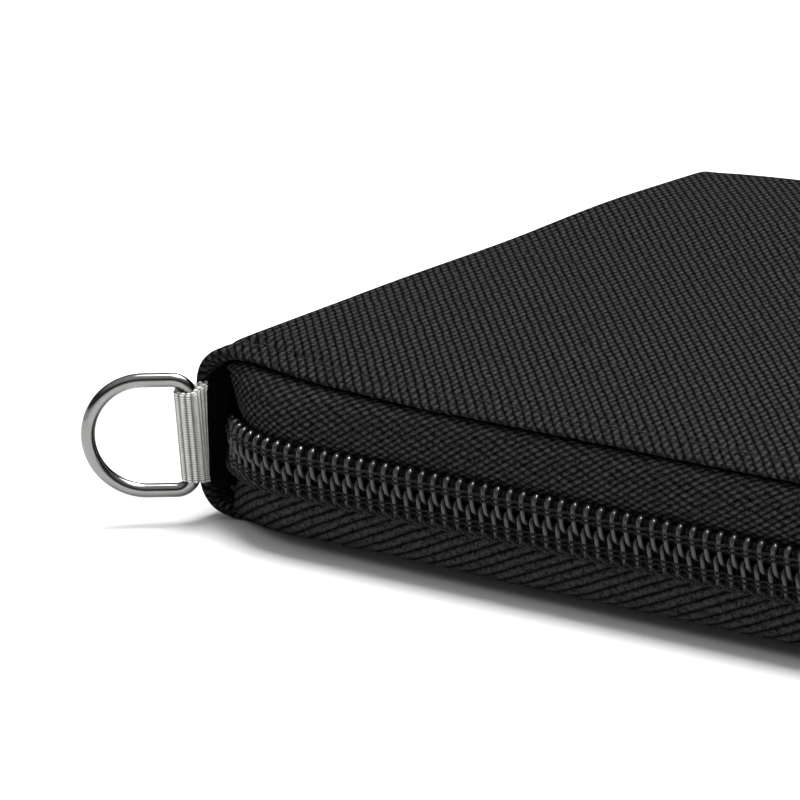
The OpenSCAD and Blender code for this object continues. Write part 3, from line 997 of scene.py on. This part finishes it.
def add_shade_patch():
    """Sheet over the webbing inside the spine's end, coloured near black as painted shade for the hollow
    there.
    """
    tail = TAIL_END - ROOT[1] + 1.5
    mouth = [(-0.85, -1.4), (-0.6, -1.25), (0.0, -0.4), (0.45, 0.8)]
    plan = ROOT[:2] + np.array([*mouth, (1.0, 3.2), (1.0, tail - 1.5), (0.4, tail)])
    line = spline(plan, 8)
    rows = np.linspace(-1, 1, 33)
    half = MID_Z - 2.3
    verts, uv = [], []
    for thick, order in ((0.0, rows), (-0.2, rows[::-1])):
        for row in order:
            x = line[:, 0] + thick - 0.5 * smooth((abs(row) - 0.7) / 0.3)
            y = line[:, 1] + 2.6 * smooth((abs(row) - 0.64) / 0.34)
            verts.append(np.column_stack([x, y, np.full(len(line), MID_Z + row * half)]))
            uv.append(np.column_stack([lengths(line), np.full(len(line), row * half)]))
    faces = grid_faces(len(verts), len(line), close_rows=True)
    piece = new_mesh("webbing_shade_patch", np.concatenate(verts), faces, np.concatenate(uv), SHADE_PATCH)
    attach(piece, "spine")


# -------- slider

BODY_LOW, BODY_HIGH = box_mm("slider_body")
CROWN_LOW, CROWN_HIGH = box_mm("slider_crown")
LINK_LOW, LINK_HIGH = box_mm("pull_link")
TAB_LOW, TAB_HIGH = box_mm("pull_tab")
PLATE_T = 1.0
FLANGE_T = 0.65


def across_y(x, z):
    """Places a plate that faces Y: its outline in X and Z about (x, z)."""
    return lambda u, v, w: (x + u, w, z + v)


def across_z(x, y, z):
    """Places a plate that faces Z: its outline in X and Y about (x, y), its thickness about z."""
    return lambda u, v, w: (x + u, y + v, z + w)


def slider_body_mesh():
    """Two shield-shaped plates, their side flanges and the post between them."""
    length, half = BODY_HIGH[0] - BODY_LOW[0], (BODY_HIGH[2] - BODY_LOW[2]) / 2
    place = across_y(BODY_LOW[0], CHAIN_Z)
    shield = [
        (0, -0.78 * half), (0.13 * length, -half), (0.5 * length, -0.97 * half), (length, -0.8 * half),
        (length, 0.8 * half), (0.5 * length, 0.97 * half), (0.13 * length, half), (0, 0.78 * half),
        (0.1 * length, 0),
    ]
    front, back = BODY_HIGH[1] - PLATE_T, BODY_LOW[1] + PLATE_T
    parts = [slab(rounded(shield, 0.8), front, BODY_HIGH[1], 0.32, place)]
    inner = [(u, v * 0.62) for u, v in shield]
    parts.append(slab(rounded(inner, 0.8), BODY_LOW[1], back, 0.32, place))
    for sign in (-1, 1):
        flange = [
            (0.08 * length, half - FLANGE_T), (0.97 * length, half - FLANGE_T),
            (0.97 * length, half * 0.84), (0.5 * length, half * 0.97), (0.12 * length, half),
        ]
        outline = rounded([(u, sign * v) for u, v in flange], 0.25)
        parts.append(slab(outline, front - 1.6, front + 0.3, 0.12, place))
    post = rounded([(0.1, 0), (1.1, -0.26), (2.3, 0), (1.1, 0.26)], 0.2)
    parts.append(slab(post, back - 0.2, front + 0.2, 0.03, place))
    return merge(parts)


def slider_crown_mesh():
    """Arched strap that holds the pull."""
    t = np.linspace(0, math.pi, 20)
    middle = (CROWN_LOW + CROWN_HIGH) / 2
    reach, rise = (CROWN_HIGH[0] - CROWN_LOW[0]) / 2, CROWN_HIGH[1] - CROWN_LOW[1]
    outer = np.stack([-reach * np.cos(t), rise * np.sin(t) ** 0.45], 1)
    inner = np.stack([(0.5 - reach) * np.cos(t), (rise - 0.5) * np.sin(t) ** 0.45], 1)[::-1]
    half = (CROWN_HIGH[2] - CROWN_LOW[2]) / 2
    place = across_z(middle[0], CROWN_LOW[1], middle[2])
    return slab(np.concatenate([outer, inner]), -half, half, 0.14, place)


def pull_link_mesh():
    """Closed wire link: pin, two arms and a cross bar."""
    low, high = LINK_LOW + 0.5, LINK_HIGH - 0.5
    corners = [(low[0], low[2]), (high[0], low[2]), (high[0], high[2]), (low[0], high[2])]
    outline = rounded(corners, 1.0)
    path = np.column_stack([outline[:, 0], np.full(len(outline), PIN[1]), outline[:, 1]])
    return tube(path, 0.52, 12, closed=True, up=(0, 1, 0))[:2]


def pull_tab_mesh():
    """Flat tab with round ends, a raised rim and a hole."""
    length, half = TAB_HIGH[0] - TAB_LOW[0], (TAB_HIGH[2] - TAB_LOW[2]) / 2
    hole = np.array([length - half, 0])
    corners = [(0, -half * 0.8), (length, -half), (length, half), (0, half * 0.8)]
    outline = rounded(corners, half, 9)
    angle = np.arctan2(*(outline - hole).T[::-1])
    thin, thick = 0.38 * (TAB_HIGH[1] - TAB_LOW[1]), 0.5 * (TAB_HIGH[1] - TAB_LOW[1])
    middle_y = (TAB_HIGH[1] + TAB_LOW[1]) / 2
    rim_lines = []
    for share, w in ((1.0, thick * 0.6), (0.97, thick), (0.88, thick), (0.83, thin)):
        rim_lines.append((hole + (outline - hole) * share, w))
    eye = np.stack([np.cos(angle), np.sin(angle)], 1)
    for radius, w in ((1.75, thin), (1.6, thick), (1.3, thick), (1.2, thick * 0.6)):
        rim_lines.append((hole + eye * radius, w))
    verts = []
    for line, w in rim_lines + [(line, -w) for line, w in rim_lines[::-1]]:
        y = np.full(len(line), middle_y + w)
        verts.append(np.column_stack([TAB_LOW[0] + line[:, 0], y, CHAIN_Z + line[:, 1]]))
    faces = grid_faces(len(verts), len(outline), close_rows=True, close_cols=True)
    return np.concatenate(verts), faces


def add_slider():
    pieces = [
        ("slider", slider_body_mesh(), 35, "slider", "slider_body"),
        ("slider_bridge", slider_crown_mesh(), 35, "slider", "slider_crown"),
        ("puller_link", pull_link_mesh(), None, "puller", "pull_link"),
        ("puller_tab", pull_tab_mesh(), 35, "puller", "pull_tab"),
    ]
    for name, (verts, faces), sharp, body, node in pieces:
        attach(new_mesh(name, verts, faces, None, SLIDER, sharp), body, [node])


# -------- pockets

POCKET_T = 0.35
BINDING_STITCH = 2.6


def pocket_mesh(node, up):
    """(verts, faces, uv) of a fabric pocket sewn down on three sides. up is 1 if its face looks up."""
    low, high = box_mm(node)
    face, base = (high[2], low[2]) if up > 0 else (low[2], high[2])
    depth = abs(face - base)
    x = high[0] - np.concatenate([np.linspace(0, 4, 14)[:-1], np.linspace(4, high[0] - low[0], 30)])
    half = high[1]
    edge = np.linspace(half - 4, half, 14)[1:]
    y = np.concatenate([-edge[::-1], np.linspace(4 - half, half - 4, 50), edge])
    gx, gy = np.meshgrid(x, y, indexing="ij")
    inside = np.minimum(high[0] - gx, half - np.abs(gy))
    rise = 1 - np.exp(-inside / 0.45)
    sag = 0.1 * wobble(gx, 21, 14.0) * wobble(gy, 22, 17.0) * smooth(inside / 8) - 0.1
    height = face + up * sag - up * depth * (1 - rise) * 0.97
    layers = []
    for lift in (0.0, POCKET_T):
        layers.append(np.stack([gx, gy, height - up * lift * rise], -1).reshape(-1, 3))
    grid = np.arange(gx.size).reshape(gx.shape)
    loop = np.concatenate([grid[0], grid[1:, -1], grid[-1, -2::-1], grid[-2::-1, 0]]).tolist()
    uv = np.stack([gx, gy], -1).reshape(-1, 2)
    faces = closed_layers(grid_faces(len(x), len(y)), loop, gx.size)
    return np.concatenate(layers), faces, np.concatenate([uv, uv])


def binding_mesh(node, up):
    """Ribbon folded over a pocket's mouth."""
    low, high = box_mm(node)
    face = high[2] if up > 0 else low[2]
    x0, half = low[0], high[1] - 0.3
    wide, thick = 3.0, 0.26
    section = [
        (wide, 0.02), (wide - 0.1, thick), (0.4, thick), (-0.12, 0.12), (-0.28, -0.2),
        (-0.12, -0.55), (0.4, -0.68), (wide - 0.4, -0.68), (wide - 0.4, -0.4), (0.3, -0.42), (0.3, -0.02),
    ]
    y = np.linspace(-half, half, 120)
    verts = []
    for u, w in section:
        z = np.full(len(y), face + up * (w - 0.1))
        verts.append(np.column_stack([x0 + u + 0.08 * wobble(y, 31, 9.0), y, z]))
    across = lengths(np.array(section))
    uv = np.concatenate([np.column_stack([y, np.full(len(y), v)]) for v in across])
    first = [k * len(y) for k in range(len(section))]
    ends = [first, [k + len(y) - 1 for k in first]]
    return np.concatenate(verts), grid_faces(len(section), len(y), close_rows=True) + ends, uv


def binding_stitches(node, up):
    """Row of stitches on a binding."""
    low, high = box_mm(node)
    face = high[2] if up > 0 else low[2]
    half = high[1] - 1.0
    t = np.linspace(0.1, 0.9, 6)
    parts = []
    for k in range(int(2 * half / BINDING_STITCH)):
        y = -half + (k + t) * BINDING_STITCH
        z = face + up * (0.1 + 0.12 * np.sin(math.pi * t))
        parts.append(tube(np.column_stack([np.full(len(t), low[0] + 2.3), y, z]), 0.13, 6))
    return merge(parts)


def add_pockets(nodes, binding, body, up):
    """Pockets that share one CAD binding node."""
    for node in nodes:
        piece = new_mesh(node + "_fabric", *pocket_mesh(node, up), POCKET)
        attach(piece, body, [node])
    ribbon = merge([binding_mesh(node, up) for node in nodes])
    attach(new_mesh(binding + "_ribbon", *ribbon, BINDING), body, [binding])
    stitches = merge([binding_stitches(node, up) for node in nodes])
    attach(new_mesh(binding + "_stitches", *stitches, THREAD), body)


# -------- stage, light and camera

CAMERA_AZIMUTH = math.radians(37.6)
CAMERA_ELEVATION = math.radians(16.2)
CAMERA_ROLL = math.radians(-1.1)
CAMERA_DISTANCE = 0.523
CAMERA_LENS = 228.0
CAMERA_TARGET = Vector((-41.5, -50.6, HEM_TOP)) * MM
# Lamps: place, target, size and power
KEY = ((0.05, 0.3, 1.0), (0, 0, 0), (0.8, 0.8), 22.0)
GLINT = ((-0.05, 0.25, 0.9), (-0.03, -0.05, 0.01), (0.25, 0.25), 50.0)


def add_camera():
    flat = math.cos(CAMERA_ELEVATION)
    side, front = math.sin(CAMERA_AZIMUTH) * flat, -math.cos(CAMERA_AZIMUTH) * flat
    back = Vector((side, front, math.sin(CAMERA_ELEVATION)))
    data = bpy.data.cameras.new("camera")
    data.sensor_width = 36.0
    data.lens = CAMERA_LENS
    data.clip_start = 0.01
    data.clip_end = 10.0
    camera = add_object("camera", data)
    camera.location = CAMERA_TARGET + back * CAMERA_DISTANCE
    turn = (-back).to_track_quat("-Z", "Y").to_matrix() @ Matrix.Rotation(CAMERA_ROLL, 3, "Z")
    camera.rotation_euler = turn.to_euler()
    bpy.context.scene.camera = camera


def add_floor():
    size = 2000.0
    corners = [(-size, -size, -0.02), (size, -size, -0.02), (size, size, -0.02), (-size, size, -0.02)]
    n = Nodes("floor_white")
    n.set(Base_Color=(0.93, 0.93, 0.93, 1), Roughness=0.7, Specular_IOR_Level=0.1)
    new_mesh("floor", corners, [(0, 1, 2, 3)], None, n.material)


def add_area(name, place, target, size, power):
    data = bpy.data.lights.new(name, "AREA")
    data.shape = "RECTANGLE"
    data.size, data.size_y = size
    data.energy = power
    light = add_object(name, data)
    light.location = place
    light.rotation_euler = (Vector(target) - Vector(place)).to_track_quat("-Z", "Y").to_euler()
    return light


def add_glint():
    """Small lamp that only shows in reflections, for the points of light on the zip."""
    add_area("glint", *GLINT).visible_diffuse = False


def add_world():
    """Studio that depends on direction only: a white wall all round, darker above it, and a
    wide bright ceiling."""
    world = bpy.data.worlds.new("studio")
    world.use_nodes = True
    tree = world.node_tree
    where = tree.nodes.new("ShaderNodeTexCoord")
    split = tree.nodes.new("ShaderNodeSeparateXYZ")
    tree.links.new(where.outputs["Generated"], split.inputs[0])
    ramp = tree.nodes.new("ShaderNodeValToRGB")
    tree.links.new(split.outputs[2], ramp.inputs[0])
    tones = [(0.0, 1.0), (0.14, 1.0), (0.22, 0.08), (0.5, 0.07), (0.7, 0.5), (1.0, 0.9)]
    set_ramp(ramp, [(at, (tone,) * 3) for at, tone in tones])
    tree.links.new(ramp.outputs[0], tree.nodes["Background"].inputs["Color"])
    bpy.context.scene.world = world


# -------- putting it together


def dress(names, material):
    """Gives CAD nodes that stay in view a material."""
    for name in names:
        mesh = frame["nodes"][name].data
        mesh.materials.clear()
        mesh.materials.append(material)


for is_front in (True, False):
    add_cover(is_front)
    add_stitching(is_front)
    add_lining(is_front)
    add_tape(is_front)
    add_coil(is_front)
add_ring()
add_webbing()
add_shade_patch()
add_slider()
add_pockets(["passport_pocket"], "passport_pocket_binding", "back_half", 1)
add_pockets(["note_pocket"], "note_pocket_binding", "front_half", -1)
add_pockets([f"card_pocket_{k}" for k in (1, 2, 3)], "card_pocket_binding", "front_half", -1)

dress(["back_board", "front_board", "spine_board"], BOARD)
dress(["back_zip_stops", "front_zip_stops"], SLIDER)
add_camera()
add_floor()
add_world()
add_area("key_above", *KEY)
add_glint()
bpy.context.scene.view_settings.view_transform = "Standard"
